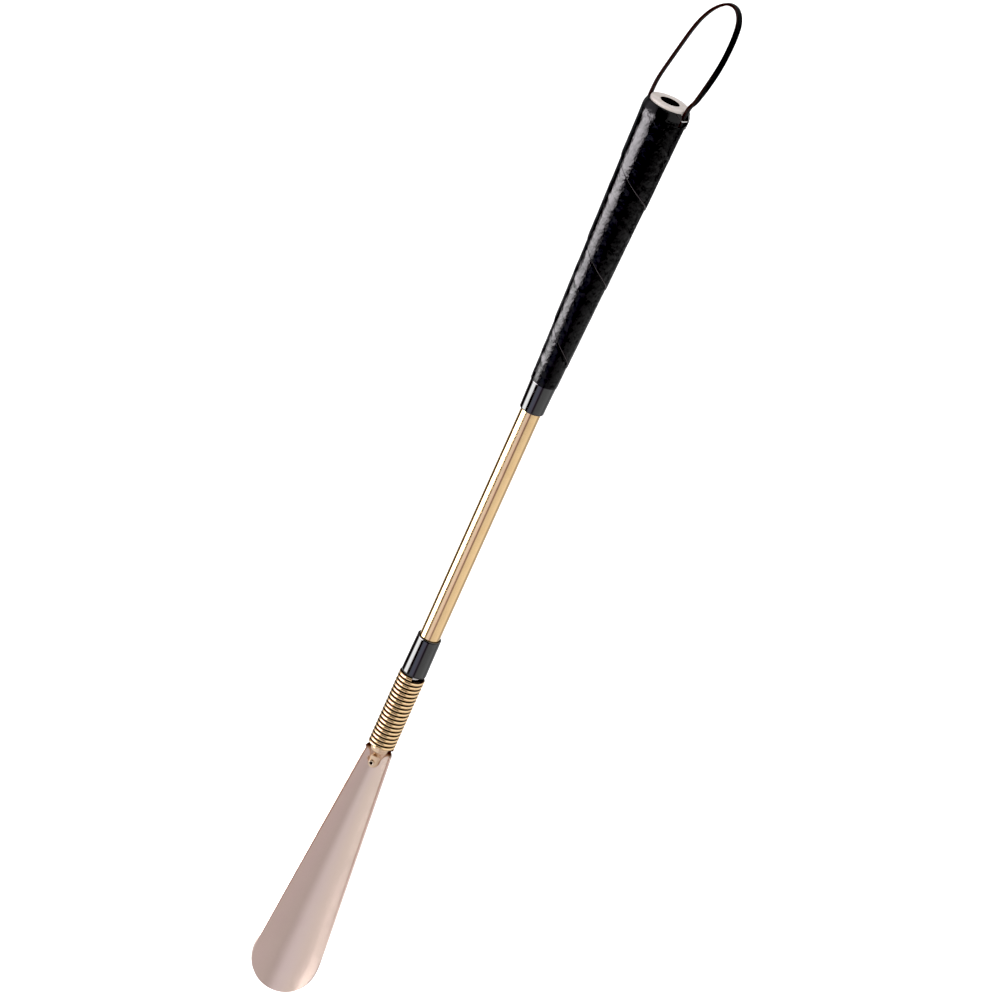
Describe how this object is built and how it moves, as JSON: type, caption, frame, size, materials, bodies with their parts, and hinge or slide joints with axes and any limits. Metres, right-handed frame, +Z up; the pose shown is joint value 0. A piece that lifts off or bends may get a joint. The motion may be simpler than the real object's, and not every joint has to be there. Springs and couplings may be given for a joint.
{
  "type": "long shoehorn",
  "caption": "Long shoehorn with a trough-shaped sheet blade on a flexible coil spring neck, a slim tube shaft and a strip-wrapped tapered handle with a hanging loop.",
  "frame": {"origin": "on the table under the shoehorn as it lies on its back, halfway between the blade's tip and the handle's end, without the hanging loop", "axes": "+Y from the blade's tip to the handle's end, +Z up out of the blade's hollow side, +X to the right"},
  "size_m": [0.0412, 0.668, 0.0274],
  "materials": {
    "blade_metal": "satin nickel with a rose tint",
    "brass": "polished, slightly rosy brass",
    "spring_wire": "polished brass-plated spring wire",
    "small_steel": "plated",
    "black_plastic": "glossy black",
    "core": "pale, sanded",
    "wrap_leather": "smooth glossy black, helically wound",
    "thong_leather": "black with brown cut edges"
  },
  "bodies": {
    "handle": {"spring_turns_1": "spring_wire", "spring_plug": "small_steel", "lower_ferrule": "black_plastic", "shaft_tube": "brass", "upper_ferrule": "black_plastic", "handle_core": "core", "handle_wrap": "wrap_leather", "hang_loop": "thong_leather", "loop_staple": "small_steel"},
    "spring_upper": {"spring_turns_2": "spring_wire"},
    "spring_middle": {"spring_turns_3": "spring_wire"},
    "spring_lower": {"spring_turns_4": "spring_wire"},
    "blade": {"blade": "blade_metal", "neck_tube": "brass", "neck_rivet": "small_steel", "spring_turns_5": "spring_wire"}
  },
  "joints": [
    {"name": "bend_fore_aft_upper", "type": "hinge", "parent": "handle", "child": "spring_upper", "pos_m": [0, -0.0723, 0.0137], "axis": [1, 0, 0], "range_deg": [-30, 30], "stiffness_Nm_per_rad": 0.7, "deforming": ["spring_turns_1", "spring_turns_2"]},
    {"name": "bend_sideways_upper", "type": "hinge", "parent": "spring_upper", "child": "spring_middle", "pos_m": [0, -0.0836, 0.0137], "axis": [0, 0, 1], "range_deg": [-20, 20], "stiffness_Nm_per_rad": 0.7, "deforming": ["spring_turns_2", "spring_turns_3"]},
    {"name": "bend_fore_aft_lower", "type": "hinge", "parent": "spring_middle", "child": "spring_lower", "pos_m": [0, -0.095, 0.0137], "axis": [1, 0, 0], "range_deg": [-30, 30], "stiffness_Nm_per_rad": 0.7, "deforming": ["spring_turns_3", "spring_turns_4"]},
    {"name": "bend_sideways_lower", "type": "hinge", "parent": "spring_lower", "child": "blade", "pos_m": [0, -0.1063, 0.0137], "axis": [0, 0, 1], "range_deg": [-20, 20], "stiffness_Nm_per_rad": 0.7, "deforming": ["spring_turns_4", "spring_turns_5"]}
  ],
  "couplings": [
    {"joint": "bend_fore_aft_lower", "follows": "bend_fore_aft_upper", "ratio": 1},
    {"joint": "bend_sideways_lower", "follows": "bend_sideways_upper", "ratio": 1}
  ]
}
